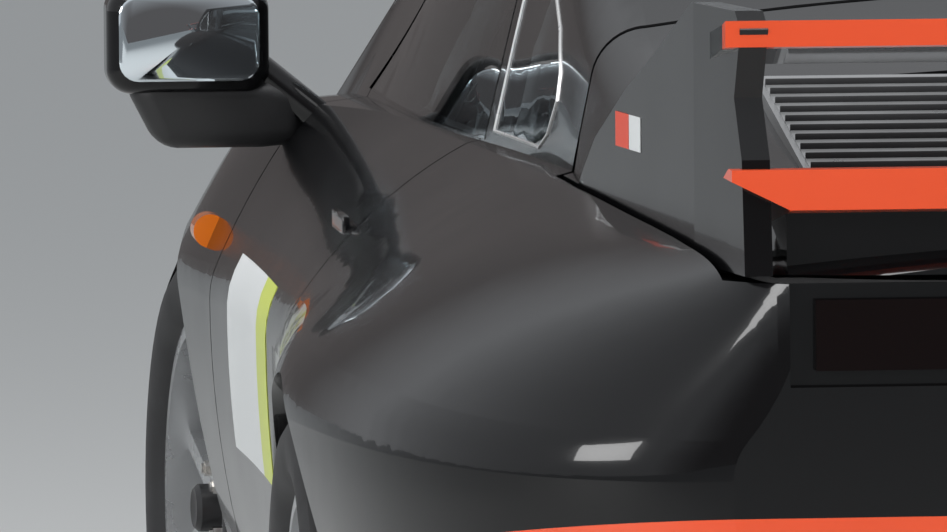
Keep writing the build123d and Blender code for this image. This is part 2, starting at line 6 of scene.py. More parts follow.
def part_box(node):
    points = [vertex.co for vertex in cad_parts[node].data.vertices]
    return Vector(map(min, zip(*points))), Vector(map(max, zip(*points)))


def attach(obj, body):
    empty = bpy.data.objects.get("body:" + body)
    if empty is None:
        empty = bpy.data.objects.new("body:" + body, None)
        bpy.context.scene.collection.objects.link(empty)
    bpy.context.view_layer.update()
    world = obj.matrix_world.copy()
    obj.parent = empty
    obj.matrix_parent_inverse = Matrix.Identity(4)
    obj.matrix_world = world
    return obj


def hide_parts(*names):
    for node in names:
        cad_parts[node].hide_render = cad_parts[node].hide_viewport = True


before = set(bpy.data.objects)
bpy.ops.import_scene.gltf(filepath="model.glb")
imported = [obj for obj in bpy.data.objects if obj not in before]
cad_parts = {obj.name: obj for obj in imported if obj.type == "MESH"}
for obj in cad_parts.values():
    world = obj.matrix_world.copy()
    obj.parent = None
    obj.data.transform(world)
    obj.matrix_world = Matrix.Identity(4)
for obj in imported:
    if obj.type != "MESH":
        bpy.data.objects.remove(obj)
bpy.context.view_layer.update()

# Painted body panels: pressed and moulded panels, sprayed in deep black under a clear lacquer. The wing's
# edge, the lip and the bands at the foot of nose and tail are sprayed orange, as are the towing eyes.
ORANGE_PEEL = (0.012, 0.00002)
SPRAYED_WEAR = 0.12
COAT_ROUGHNESS = 0.03
PATCHES_PER_METRE = 7
PATCHES_FROM, PATCHES_TO = 0.3, 0.7
# The colour sockets of a Mix node, by number
SHADE_A, SHADE_B, SHADE_OUT = 6, 7, 2


def finish(name, colour, roughness=0.4, metallic=0.0, coat=0.0, ior=1.5, transmission=0.0, grain=None,
           wear=0.0):
    """One material: its even values on the shader itself, a fine relief (grain's size and height, in metres),
    and patches where handling and dust change its gloss and shade (wear, as a part of one)."""
    material = bpy.data.materials.new(name)
    material.use_nodes = True
    shader = material.node_tree.nodes["Principled BSDF"]
    shader.inputs["Base Color"].default_value = (*colour, 1)
    shader.inputs["Roughness"].default_value = roughness
    shader.inputs["Metallic"].default_value = metallic
    shader.inputs["Coat Weight"].default_value = coat
    shader.inputs["Coat Roughness"].default_value = COAT_ROUGHNESS
    shader.inputs["IOR"].default_value = ior
    shader.inputs["Transmission Weight"].default_value = transmission
    nodes, links = material.node_tree.nodes, material.node_tree.links
    if grain or wear:
        place = nodes.new("ShaderNodeTexCoord").outputs["Object"]
    if grain:
        grain_size, grain_height = grain
        pores = nodes.new("ShaderNodeTexNoise")
        pores.inputs["Scale"].default_value = 1 / grain_size
        pores.inputs["Detail"].default_value = 3
        relief = nodes.new("ShaderNodeBump")
        relief.inputs["Distance"].default_value = grain_height
        links.new(place, pores.inputs["Vector"])
        links.new(pores.outputs["Fac"], relief.inputs["Height"])
        links.new(relief.outputs["Normal"], shader.inputs["Normal"])
    if wear:
        patches = nodes.new("ShaderNodeTexNoise")
        patches.inputs["Scale"].default_value = PATCHES_PER_METRE
        patches.inputs["Detail"].default_value = 6
        gloss = nodes.new("ShaderNodeMapRange")
        gloss.inputs["From Min"].default_value = PATCHES_FROM
        gloss.inputs["From Max"].default_value = PATCHES_TO
        gloss.inputs["To Min"].default_value = roughness * (1 - wear)
        gloss.inputs["To Max"].default_value = min(1, roughness * (1 + wear))
        shade = nodes.new("ShaderNodeMix")
        shade.data_type = "RGBA"
        for socket, part in ((SHADE_A, 1 - wear / 3), (SHADE_B, 1 + wear / 3)):
            shade.inputs[socket].default_value = (*(min(1, c * part) for c in colour), 1)
        links.new(place, patches.inputs["Vector"])
        links.new(patches.outputs["Fac"], gloss.inputs["Value"])
        links.new(gloss.outputs["Result"], shader.inputs["Roughness"])
        links.new(patches.outputs["Fac"], shade.inputs["Factor"])
        links.new(shade.outputs[SHADE_OUT], shader.inputs["Base Color"])
    return material


def coat_nodes(material, *names):
    """Give the frame's own pieces their finish."""
    for name in names:
        for slot in bpy.data.objects[name].material_slots:
            slot.material = material


black_lacquer = finish("black_lacquer", (0.004, 0.004, 0.0045), roughness=0.2, coat=0.5, ior=1.2,
                       grain=ORANGE_PEEL, wear=SPRAYED_WEAR)
orange_lacquer = finish("orange_lacquer", (0.8, 0.075, 0.012), roughness=0.35, coat=0.6,
                        grain=ORANGE_PEEL, wear=SPRAYED_WEAR)
satin_black = finish("satin_black", (0.012, 0.012, 0.013), roughness=0.45,
                     grain=(0.0012, 0.00004), wear=0.15)
coat_nodes(black_lacquer, "cabin_frame", "front_fender_left", "front_fender_right", "rear_fender_left",
           "rear_fender_right", "front_bumper", "rear_bumper", "door_left", "door_right", "bonnet",
           "rear_lid", "mirror_left", "mirror_right", "wing_pylons", "wing_blade")
coat_nodes(orange_lacquer, "wing_edge", "wing_lip", "front_valance", "rear_valance", "towing_eyes")
coat_nodes(satin_black, "platform", "dashboard")

# Window glass: laminated panes bonded in front and behind, and toughened panes in the doors. All are clear
# float glass, tinted a little in the melt.
clear_glass = finish("window_glass", (0.72, 0.78, 0.8), roughness=0.0, ior=1.45, transmission=1.0)
coat_nodes(clear_glass, "fixed_glass", "door_glass_left", "door_glass_right")

# Quarter window trims: a thin bright bead round the edge of each small side pane, rolled from sheet and held
# by the pane's seal.
pale_bead = finish("pale_bead", (0.6, 0.6, 0.6), roughness=0.25, metallic=0.6, wear=0.2)
BEAD_R = 0.0022
PANE_WELD = 0.00005
QUARTER_REAR_Y, QUARTER_FRONT_Y = -0.9, -0.43
QUARTER_LEAST_X = 0.45
FACES_SIDEWAYS = 0.6


def pick_faces(piece, wanted):
    """Select the faces whose centre and normal pass the test, and stay in edit mode."""
    bpy.ops.object.mode_set(mode="EDIT")
    bpy.ops.mesh.select_mode(type="FACE")
    bpy.ops.mesh.select_all(action="DESELECT")
    bpy.ops.object.mode_set(mode="OBJECT")
    for face in piece.data.polygons:
        face.select = bool(wanted(face.center, face.normal))
    bpy.ops.object.mode_set(mode="EDIT")


def settle(piece, name, material, body, sharp=35):
    """Apply the place, smooth up to the sharp angle, name and finish a piece, and let it ride on its body."""
    bpy.ops.object.mode_set(mode="OBJECT")
    bpy.ops.object.select_all(action="DESELECT")
    piece.select_set(True)
    bpy.context.view_layer.objects.active = piece
    bpy.ops.object.transform_apply(location=True, rotation=True, scale=True)
    bpy.ops.object.shade_smooth_by_angle(angle=math.radians(sharp))
    piece.name = name
    if not piece.data.materials:
        piece.data.materials.append(material)
    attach(piece, body)


for side, s in (("left", -1), ("right", 1)):
    bpy.ops.object.select_all(action="DESELECT")
    bead = bpy.data.objects.new(f"quarter_bead_{side}", bpy.data.objects["fixed_glass"].data.copy())
    bpy.context.collection.objects.link(bead)
    bead.data.materials.clear()
    bead.select_set(True)
    bpy.context.view_layer.objects.active = bead
    bpy.ops.object.mode_set(mode="EDIT")
    bpy.ops.mesh.select_all(action="SELECT")
    bpy.ops.mesh.remove_doubles(threshold=PANE_WELD)
    bpy.ops.object.mode_set(mode="OBJECT")
    pick_faces(bead, lambda c, n: not (s * n.x > FACES_SIDEWAYS and s * c.x > QUARTER_LEAST_X
                                       and QUARTER_REAR_Y < c.y < QUARTER_FRONT_Y))
    bpy.ops.mesh.delete(type="FACE")
    bpy.ops.mesh.select_all(action="SELECT")
    bpy.ops.mesh.region_to_loop()
    bpy.ops.mesh.select_all(action="INVERT")
    bpy.ops.mesh.delete(type="EDGE_FACE")
    bpy.ops.object.mode_set(mode="OBJECT")
    bpy.ops.object.convert(target="CURVE")
    bead.data.bevel_depth = BEAD_R
    bead.data.bevel_resolution = 1
    bpy.ops.object.convert(target="MESH")
    settle(bead, f"quarter_bead_{side}", pale_bead, "chassis")

# Lamp lenses: clear moulded lenses in front, smoked ones behind and amber domes on the front fenders, each
# pressed into its opening.
lamp_glass = finish("lamp_glass", (0.95, 0.97, 0.98), roughness=0.02, ior=1.45, transmission=1.0)
smoked_glass = finish("smoked_glass", (0.004, 0.0015, 0.0015), roughness=0.1, coat=0.1, ior=1.2)
amber_glass = finish("amber_glass", (0.9, 0.2, 0.01), roughness=0.12, coat=0.5)
coat_nodes(lamp_glass, "headlamps")
coat_nodes(smoked_glass, "tail_lamps")
coat_nodes(amber_glass, "side_repeaters")

# Metalwork: forged arms and uprights, cast alloy rims, cast engine block and a bright steel exhaust. The tube
# of the roll cage is powder coated grey.
dark_steel = finish("dark_steel", (0.12, 0.12, 0.125), roughness=0.45, metallic=0.9,
                    grain=(0.003, 0.0001), wear=0.3)
rim_alloy = finish("rim_alloy", (0.55, 0.56, 0.57), roughness=0.3, metallic=0.75,
                   grain=(0.002, 0.00002), wear=0.25)
cast_alloy = finish("cast_alloy", (0.4, 0.41, 0.42), roughness=0.5, metallic=0.8,
                    grain=(0.003, 0.0003), wear=0.3)
bright_steel = finish("bright_steel", (0.62, 0.6, 0.57), roughness=0.18, metallic=1.0, wear=0.3)
cage_grey = finish("cage_grey", (0.16, 0.165, 0.17), roughness=0.4, grain=(0.0015, 0.00005), wear=0.15)
coat_nodes(dark_steel, "suspension", "knuckle_left", "knuckle_right")
coat_nodes(rim_alloy, "front_rim_left", "front_rim_right", "rear_rim_left", "rear_rim_right")
coat_nodes(cast_alloy, "engine_block")
coat_nodes(bright_steel, "exhaust")
coat_nodes(cage_grey, "roll_cage")

# Plastics and soft trim: metallic grey slats in the rear lid, the steering wheel's suede grip and the seats'
# moulded shells.
slat_plastic = finish("slat_plastic", (0.35, 0.355, 0.36), roughness=0.3, metallic=0.7,
                      grain=(0.0015, 0.00002), wear=0.2)
suede = finish("suede", (0.02, 0.02, 0.022), roughness=0.9, grain=(0.001, 0.0002), wear=0.3)
shell_black = finish("shell_black", (0.015, 0.015, 0.016), roughness=0.35, coat=0.4,
                     grain=(0.004, 0.00003), wear=0.15)
coat_nodes(slat_plastic, "lid_slats")
coat_nodes(suede, "steering_wheel")
coat_nodes(shell_black, "bucket_seats")

# Tyres: moulded rubber with a low sidewall and a road tread of blocks, standing on their own width of road.
# Each is pressed on its rim, and the front pair stands turned a little to the left.
AXLE_TURN = {"front": math.radians(6), "rear": 0}
TYRE_WIDTH = {"front": 0.225, "rear": 0.26}
TREAD_BLOCKS = 64
TREAD_DEPTH = 0.006
BLOCK_GAP = 0.003
GROOVE_AT = 0.22
SHOULDER_W = 0.016
RIM_SEAT_R = 0.2365
BEAD_IN = 0.027
NEAR = 1e-4
rubber = finish("rubber", (0.014, 0.014, 0.015), roughness=0.75, grain=(0.0015, 0.00015), wear=0.2)


def middle(node):
    """The middle of a node's box."""
    low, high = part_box(node)
    return (Vector(low) + Vector(high)) / 2


def pick_edges(piece, wanted):
    """Select the edges whose two ends pass the test, and stay in edit mode."""
    bpy.ops.object.mode_set(mode="EDIT")
    bpy.ops.mesh.select_mode(type="EDGE")
    bpy.ops.mesh.select_all(action="DESELECT")
    bpy.ops.object.mode_set(mode="OBJECT")
    for edge in piece.data.edges:
        a, b = (piece.data.vertices[v].co for v in edge.vertices)
        edge.select = bool(wanted(a, b))
    bpy.ops.object.mode_set(mode="EDIT")


def moulded_tyre(width, radius):
    """Tyre about the X axis: a drum with raised tread blocks, drawn in over rolled shoulders to its beads."""
    base_r = radius - TREAD_DEPTH
    half_w = width / 2
    drum_half = half_w - SHOULDER_W
    bpy.ops.mesh.primitive_cylinder_add(vertices=TREAD_BLOCKS, radius=base_r, depth=2 * drum_half,
                                        end_fill_type="NOTHING", rotation=(0, math.pi / 2, 0))
    drum = bpy.context.object
    bpy.ops.object.transform_apply(location=False, rotation=True, scale=True)
    for x in (-GROOVE_AT * width, 0, GROOVE_AT * width):
        bpy.ops.object.mode_set(mode="EDIT")
        bpy.ops.mesh.select_all(action="SELECT")
        bpy.ops.mesh.bisect(plane_co=(x, 0, 0), plane_no=(1, 0, 0))
        bpy.ops.object.mode_set(mode="OBJECT")
    pick_faces(drum, lambda c, n: True)
    bpy.ops.mesh.inset(thickness=BLOCK_GAP, use_individual=True)
    bpy.ops.mesh.extrude_faces_move(TRANSFORM_OT_shrink_fatten={"value": TREAD_DEPTH})
    bpy.ops.object.mode_set(mode="OBJECT")
    # Rings of the sidewall from shoulder to bead: radius, distance from the tyre's middle
    sidewall = ((base_r - 0.003, half_w - 0.008), (base_r - 0.016, half_w), (0.282, half_w),
                (0.262, half_w - 0.003), (0.249, half_w - 0.012), (RIM_SEAT_R, half_w - BEAD_IN))
    for s in (-1, 1):
        pick_edges(drum, lambda a, b: min(s * a.x, s * b.x) > drum_half - NEAR)
        r, x = base_r, drum_half
        for next_r, next_x in sidewall:
            bpy.ops.mesh.extrude_region_move(TRANSFORM_OT_translate={"value": (s * (next_x - x), 0, 0)})
            bpy.ops.transform.resize(value=(1, next_r / r, next_r / r))
            r, x = next_r, next_x
        bpy.ops.object.mode_set(mode="OBJECT")
    bead_x = half_w - BEAD_IN
    pick_edges(drum, lambda a, b: all(abs(abs(v.x) - bead_x) < NEAR and v.yz.length < RIM_SEAT_R + NEAR
                                      for v in (a, b)))
    bpy.ops.mesh.bridge_edge_loops()
    bpy.ops.mesh.select_all(action="SELECT")
    bpy.ops.mesh.normals_make_consistent(inside=False)
    bpy.ops.object.mode_set(mode="OBJECT")
    return drum


bpy.ops.object.select_all(action="DESELECT")
for end, turn in AXLE_TURN.items():
    low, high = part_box(f"{end}_tyre_left")
    left_tyre = moulded_tyre(TYRE_WIDTH[end], (high[2] - low[2]) / 2)
    unplaced_mesh = left_tyre.data.copy()
    for side in ("left", "right"):
        node = f"{end}_tyre_{side}"
        tyre = left_tyre
        if side == "right":
            # A copy of the finished left one, which hands on its marks too
            tyre = left_tyre.copy()
            tyre.data = unplaced_mesh
            bpy.context.collection.objects.link(tyre)
        tyre.matrix_world = Matrix.Translation(middle(node)) @ Matrix.Rotation(turn, 4, "Z")
        settle(tyre, f"tread_{end}_{side}", rubber, f"wheel_{end}_{side}")
        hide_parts(node)

# Wheel nuts and centre caps: five forged hexagon nuts round the stub axle, screwed on the rim's face, and a
# black turned cap pressed over the axle's end.
NUT_COUNT = 5
NUT_CIRCLE_R = 0.052
NUT_R, NUT_H = 0.0105, 0.018
CAP_R, CAP_H = 0.031, 0.03
HUB_FACE_OUT = {"front": 0.0675, "rear": 0.085}
CAP_OUT, NUT_OUT = 0.012, 0.007
CAP_RIM, CAP_DOME_W, CAP_HOLLOW = 0.006, 0.012, 0.003
NUT_CHAMFER, NUT_CROWN = 0.003, 0.004
FACES_ONE_WAY = 0.9
for end, face_out in HUB_FACE_OUT.items():
    for side, s in (("left", -1), ("right", 1)):
        centre = middle(f"{end}_tyre_{side}")
        turn = Matrix.Rotation(AXLE_TURN[end], 4, "Z")
        outward = turn @ Vector((s, 0, 0))
        lay = turn @ Matrix.Rotation(s * math.pi / 2, 4, "Y")
        bpy.ops.object.select_all(action="DESELECT")
        bpy.ops.mesh.primitive_cylinder_add(vertices=32, radius=CAP_R, depth=CAP_H)
        cap = bpy.context.object
        pick_faces(cap, lambda c, n: n.z > FACES_ONE_WAY)
        bpy.ops.mesh.inset(thickness=CAP_RIM)
        bpy.ops.transform.translate(value=(0, 0, CAP_RIM))
        bpy.ops.mesh.inset(thickness=CAP_DOME_W)
        bpy.ops.transform.translate(value=(0, 0, -CAP_HOLLOW))
        bpy.ops.object.mode_set(mode="OBJECT")
        cap.matrix_world = Matrix.Translation(centre + outward * (face_out + CAP_OUT)) @ lay
        settle(cap, f"hub_cap_{end}_{side}", satin_black, f"wheel_{end}_{side}")
        nuts = []
        for i in range(NUT_COUNT):
            angle = math.radians(360 / NUT_COUNT * i + 18)
            bpy.ops.object.select_all(action="DESELECT")
            bpy.ops.mesh.primitive_cylinder_add(vertices=6, radius=NUT_R, depth=NUT_H)
            nut = bpy.context.object
            pick_faces(nut, lambda c, n: n.z > FACES_ONE_WAY)
            bpy.ops.mesh.inset(thickness=NUT_CHAMFER)
            bpy.ops.mesh.extrude_faces_move(TRANSFORM_OT_shrink_fatten={"value": NUT_CROWN})
            bpy.ops.object.mode_set(mode="OBJECT")
            ring = Matrix.Rotation(angle, 4, "Z") @ Matrix.Translation((NUT_CIRCLE_R, 0, 0))
            nut.matrix_world = Matrix.Translation(centre + outward * (face_out + NUT_OUT)) @ lay @ ring
            nuts.append(nut)
        for nut in nuts:
            nut.select_set(True)
        bpy.context.view_layer.objects.active = nuts[0]
        bpy.ops.object.join()
        settle(nuts[0], f"wheel_nuts_{end}_{side}", bright_steel, f"wheel_{end}_{side}")

# Brake calipers: cast blocks with a slot that straddles the disc, painted in the body's orange. The front
# ones are bolted to the steered uprights, the rear ones to the fixed hubs.
DISC_MIDDLE = {"front": -0.0045, "rear": 0.013}
CALIPER_SIZE = (0.066, 0.058, 0.15)
CALIPER_SLOT = 0.044
CALIPER_WALL = 0.012
CALIPER_BEHIND, CALIPER_UP = 0.168, 0.02
CALIPER_ROUNDING = 0.005


def block(size):
    """A block at the origin, ready to be shaped."""
    bpy.ops.object.select_all(action="DESELECT")
    bpy.ops.mesh.primitive_cube_add(size=1, scale=size)
    piece = bpy.context.object
    bpy.ops.object.transform_apply(location=False, rotation=False, scale=True)
    return piece


def round_edges(piece, width, segments):
    rounding = piece.modifiers.new("rounded", "BEVEL")
    rounding.width = width
    rounding.segments = segments
    bpy.ops.object.modifier_apply(modifier="rounded")


for end in ("front", "rear"):
    for side, s in (("left", -1), ("right", 1)):
        centre = middle(f"{end}_tyre_{side}")
        turn = Matrix.Rotation(AXLE_TURN[end], 4, "Z")
        caliper = block(CALIPER_SIZE)
        pick_faces(caliper, lambda c, n: n.y > FACES_ONE_WAY)
        bpy.ops.mesh.inset(thickness=CALIPER_WALL)
        bpy.ops.transform.resize(value=(0.72, 1, 1.16))
        bpy.ops.mesh.extrude_faces_move(TRANSFORM_OT_shrink_fatten={"value": -CALIPER_SLOT})
        bpy.ops.object.mode_set(mode="OBJECT")
        round_edges(caliper, CALIPER_ROUNDING, 2)
        shift = turn @ Vector((s * DISC_MIDDLE[end], -CALIPER_BEHIND, CALIPER_UP))
        caliper.matrix_world = Matrix.Translation(centre + shift) @ turn
        body = f"knuckle_{side}" if end == "front" else "chassis"
        settle(caliper, f"caliper_{end}_{side}", orange_lacquer, body)

# Mirror glass: a silvered glass plate with rounded corners and a ground edge, let into the back of each
# mirror shell.
silvered = finish("silvered_glass", (0.62, 0.68, 0.72), roughness=0.03, metallic=1.0)
PLATE_X = 0.872
PLATE_UNDER_TOP = 0.064
PLATE_SIZE = (0.172, 0.006, 0.104)
PLATE_CORNER_R = 0.024
PLATE_PROUD = 0.001
PLATE_EDGE, PLATE_CROWN = 0.003, 0.0015
for side, s in (("left", -1), ("right", 1)):
    low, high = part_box(f"mirror_{side}")
    plate = block(PLATE_SIZE)
    plate.location = (s * PLATE_X, low[1] + PLATE_PROUD, high[2] - PLATE_UNDER_TOP)
    pick_edges(plate, lambda a, b: abs(a.y - b.y) > PLATE_SIZE[1] / 2)
    bpy.ops.mesh.bevel(offset=PLATE_CORNER_R, segments=6)
    bpy.ops.object.mode_set(mode="OBJECT")
    pick_faces(plate, lambda c, n: n.y < -FACES_ONE_WAY)
    bpy.ops.mesh.inset(thickness=PLATE_EDGE)
    bpy.ops.transform.translate(value=(0, -PLATE_CROWN, 0))
    settle(plate, f"mirror_glass_{side}", silvered, f"door_{side}")

# Mirror fairings: a moulded scoop under each mirror shell that runs down to the door's shoulder. Injection
# moulded in black and screwed to the mirror's foot.
SCOOP_X, SCOOP_Y, SCOOP_Z = 0.862, 0.596, 0.862
SCOOP_SIZE = (0.178, 0.088, 0.084)
SCOOP_NECK = 0.05
SCOOP_ROUNDING = 0.024
SCOOP_FOOT_IN, SCOOP_FOOT_AHEAD = 0.018, 0.004
FACES_INWARD = 0.8
for side, s in (("left", -1), ("right", 1)):
    scoop = block(SCOOP_SIZE)
    scoop.location = (s * SCOOP_X, SCOOP_Y, SCOOP_Z)
    pick_faces(scoop, lambda c, n: n.z < -FACES_ONE_WAY)
    bpy.ops.transform.resize(value=(0.72, 0.7, 1))
    bpy.ops.transform.translate(value=(-s * SCOOP_FOOT_IN, SCOOP_FOOT_AHEAD, 0))
    pick_faces(scoop, lambda c, n: n.x * s < -FACES_INWARD)
    bpy.ops.mesh.extrude_faces_move(TRANSFORM_OT_shrink_fatten={"value": SCOOP_NECK})
    bpy.ops.transform.resize(value=(1, 0.8, 0.8))
    bpy.ops.object.mode_set(mode="OBJECT")
    round_edges(scoop, SCOOP_ROUNDING, 5)
    settle(scoop, f"mirror_fairing_{side}", satin_black, f"door_{side}", sharp=50)

# Slat lips: the rear edge of each slat in the lid has a dark rolled lip, so that air leaves and rain runs
# back. The lips are black plastic strips pressed on the slats.
SLAT_COUNT = 11
SLAT_FRONT = Vector((0, -1.340, 0.9968))
SLAT_STEP = Vector((0, -0.042, -0.00718))
LIP_FROM_SLAT = Vector((0, -0.0195, 0.001))
LIP_SIZE = (0.788, 0.005, 0.009)
LIP_LEAN = 0.001
LIP_ROUNDING = 0.001
lip_bar = block(LIP_SIZE)
pick_faces(lip_bar, lambda c, n: n.z > FACES_ONE_WAY)
bpy.ops.transform.resize(value=(1, 0.5, 1))
bpy.ops.transform.translate(value=(0, -LIP_LEAN, 0))
bpy.ops.object.mode_set(mode="OBJECT")
round_edges(lip_bar, LIP_ROUNDING, 2)
lips = []
for i in range(SLAT_COUNT):
    lip = lip_bar.copy()
    lip.data = lip_bar.data.copy()
    bpy.context.collection.objects.link(lip)
    lip.location = SLAT_FRONT + i * SLAT_STEP + LIP_FROM_SLAT
    lips.append(lip)
bpy.data.objects.remove(lip_bar)
bpy.ops.object.select_all(action="DESELECT")
for lip in lips:
    lip.select_set(True)
bpy.context.view_layer.objects.active = lips[0]
bpy.ops.object.join()
settle(lips[0], "slat_lips", satin_black, "rear_lid")

# Stickers: a white panel with a lime edge on each door, and a small red and white one on each pylon of the
# wing. They are thin vinyl film with nothing written on it, pressed on the skin.
blank_white = finish("blank_white", (0.72, 0.74, 0.74), roughness=0.35, wear=0.12)
lime_vinyl = finish("lime_vinyl", (0.6, 0.68, 0.12), roughness=0.35, wear=0.12)
red_vinyl = finish("red_vinyl", (0.75, 0.06, 0.02), roughness=0.35, wear=0.12)
VINYL_LIFT, VINYL_THICK = 0.0004, 0.0006


def pressed_on(target, size, at, turn, cuts, lift=VINYL_LIFT, thick=VINYL_THICK):
    """A thin sheet that lies on the target: a grid thrown along its own -Z onto the surface."""
    bpy.ops.object.select_all(action="DESELECT")
    bpy.ops.mesh.primitive_grid_add(x_subdivisions=cuts[0], y_subdivisions=cuts[1], size=1, location=at,
                                    rotation=turn)
    patch = bpy.context.object
    patch.scale = (size[0], size[1], 1)
    bpy.ops.object.transform_apply(location=False, rotation=False, scale=True)
    throw = patch.modifiers.new("lie", "SHRINKWRAP")
    throw.wrap_method = "PROJECT"
    throw.target = bpy.data.objects[target]
    throw.use_project_z = True
    throw.use_positive_direction = False
    throw.use_negative_direction = True
    throw.offset = lift
    bpy.ops.object.modifier_apply(modifier="lie")
    wall = patch.modifiers.new("thick", "SOLIDIFY")
    wall.thickness = thick
    wall.offset = 1
    bpy.ops.object.modifier_apply(modifier="thick")
    return patch


FACING_LEFT = (math.pi / 2, 0, -math.pi / 2)
FACING_RIGHT = (math.pi / 2, 0, math.pi / 2)
DOOR_STICKER_H, DOOR_STICKER_Z = 0.235, 0.585
PYLON_STICKER_H, PYLON_STICKER_Z = 0.036, 0.957
BESIDE_DOOR_X, BESIDE_PYLON_X = 1.0, 0.9
# Name, middle along the car, length, vinyl
DOOR_STICKERS = (("sticker", 0.20, 0.40, blank_white), ("sticker_edge", -0.08, 0.16, lime_vinyl))
PYLON_STICKERS = (("red", -1.475, 0.07, red_vinyl), ("white", -1.543, 0.06, blank_white))
for side, s, facing in (("left", -1, FACING_LEFT), ("right", 1, FACING_RIGHT)):
    for name, y, length, material in DOOR_STICKERS:
        patch = pressed_on(f"door_{side}", (length, DOOR_STICKER_H), (s * BESIDE_DOOR_X, y, DOOR_STICKER_Z),
                           facing, (24, 12))
        settle(patch, f"door_{name}_{side}", material, f"door_{side}")
    for name, y, length, material in PYLON_STICKERS:
        patch = pressed_on("wing_pylons", (length, PYLON_STICKER_H), (s * BESIDE_PYLON_X, y, PYLON_STICKER_Z),
                           facing, (6, 4))
        settle(patch, f"pylon_{name}_{side}", material, "rear_lid")

# Cage label: a blank white sleeve of vinyl film, wrapped round the left stay of the roll cage and held by its
# own glue.
LABEL_FOOT = Vector((-0.4405, -0.51, 1.062))
LABEL_TOP = Vector((-0.4440, -0.42, 1.123))
LABEL_R = 0.0188
LABEL_THICK = 0.0004
bpy.ops.object.select_all(action="DESELECT")
bpy.ops.mesh.primitive_cylinder_add(vertices=32, radius=LABEL_R, depth=(LABEL_TOP - LABEL_FOOT).length,
                                    end_fill_type="NOTHING")
sleeve = bpy.context.object
sleeve.matrix_world = (Matrix.Translation((LABEL_TOP + LABEL_FOOT) / 2)
                       @ (LABEL_TOP - LABEL_FOOT).to_track_quat("Z", "Y").to_matrix().to_4x4())
wall = sleeve.modifiers.new("vinyl", "SOLIDIFY")
wall.thickness = LABEL_THICK
wall.offset = 1
bpy.ops.object.modifier_apply(modifier="vinyl")
settle(sleeve, "cage_label", blank_white, "chassis")

# Door handles: a cast lever near the rear edge of each door, painted black with the body and seated on the
# door's skin.
HANDLE_Y, HANDLE_Z = -0.36, 0.79
LEVER_SIZE = (0.009, 0.15, 0.024)
LEVER_EDGE, LEVER_HOLLOW_EDGE = 0.004, 0.005
LEVER_ROUNDING = 0.003
LEVER_OUT = 0.004
for side, s in (("left", -1), ("right", 1)):
    door = bpy.data.objects[f"door_{side}"]
    _, seat, _, _ = door.ray_cast(Vector((s * 1.2, HANDLE_Y, HANDLE_Z)), Vector((-s, 0, 0)))
    lever = block(LEVER_SIZE)
    pick_faces(lever, lambda c, n: n.x * s > FACES_ONE_WAY)
    bpy.ops.mesh.inset(thickness=LEVER_EDGE)
    bpy.ops.transform.resize(value=(1, 0.92, 0.7))
    pick_faces(lever, lambda c, n: n.x * s < -FACES_ONE_WAY)
    bpy.ops.mesh.inset(thickness=LEVER_HOLLOW_EDGE)
    bpy.ops.object.mode_set(mode="OBJECT")
    round_edges(lever, LEVER_ROUNDING, 2)
    lever.location = seat + Vector((s * LEVER_OUT, 0, 0))
    settle(lever, f"door_handle_{side}", black_lacquer, f"door_{side}")

# Headlamp insides: a spun, silvered steel bowl behind each lens, with a capped bulb pushed through to its
# middle from behind.
LAMP_X, LAMP_Y, LAMP_Z = 0.52, 1.815, 0.61
BOWL_R = 0.079
BOWL_WALL = 0.002
BULB_R, BULB_L, BULB_Y = 0.009, 0.05, 1.78
BULB_CAP_EDGE, BULB_CAP_H = 0.003, 0.006
for side, s in (("left", -1), ("right", 1)):
    bpy.ops.object.select_all(action="DESELECT")
    bpy.ops.mesh.primitive_uv_sphere_add(segments=32, ring_count=16, radius=BOWL_R,
                                         location=(s * LAMP_X, LAMP_Y, LAMP_Z), rotation=(math.pi / 2, 0, 0))
    bowl = bpy.context.object
    bpy.ops.object.transform_apply(location=False, rotation=True, scale=True)
    bpy.ops.object.mode_set(mode="EDIT")
    bpy.ops.mesh.select_all(action="SELECT")
    bpy.ops.mesh.bisect(plane_co=(s * LAMP_X, LAMP_Y, LAMP_Z), plane_no=(0, 1, 0), clear_outer=True)
    bpy.ops.mesh.select_all(action="SELECT")
    bpy.ops.transform.resize(value=(1, 0.85, 1))
    bpy.ops.object.mode_set(mode="OBJECT")
    wall = bowl.modifiers.new("wall", "SOLIDIFY")
    wall.thickness = BOWL_WALL
    bpy.ops.object.modifier_apply(modifier="wall")
    settle(bowl, f"lamp_bowl_{side}", bright_steel, "chassis")
    bpy.ops.object.select_all(action="DESELECT")
    bpy.ops.mesh.primitive_cylinder_add(vertices=20, radius=BULB_R, depth=BULB_L,
                                        location=(s * LAMP_X, BULB_Y, LAMP_Z), rotation=(-math.pi / 2, 0, 0))
    bulb = bpy.context.object
    pick_faces(bulb, lambda c, n: n.z > FACES_ONE_WAY)
    bpy.ops.mesh.inset(thickness=BULB_CAP_EDGE)
    bpy.ops.mesh.extrude_faces_move(TRANSFORM_OT_shrink_fatten={"value": BULB_CAP_H})
    settle(bulb, f"lamp_bulb_{side}", bright_steel, "chassis")

# Intake mesh: black wire, woven and soldered where the wires cross, fixed behind the mouth of the front
# bumper.
MESH_AT = (0, 2.052, 0.48)
MESH_SIZE = (0.64, 0.11)
WIRE_D = 0.0026
bpy.ops.object.select_all(action="DESELECT")
bpy.ops.mesh.primitive_grid_add(x_subdivisions=46, y_subdivisions=8, size=1, location=MESH_AT,
                                rotation=(math.pi / 2, 0, 0))
wire = bpy.context.object
wire.scale = (*MESH_SIZE, 1)
bpy.ops.object.transform_apply(location=False, rotation=False, scale=True)
weave = wire.modifiers.new("weave", "WIREFRAME")
weave.thickness = WIRE_D
bpy.ops.object.modifier_apply(modifier="weave")
settle(wire, "intake_mesh", satin_black, "chassis")

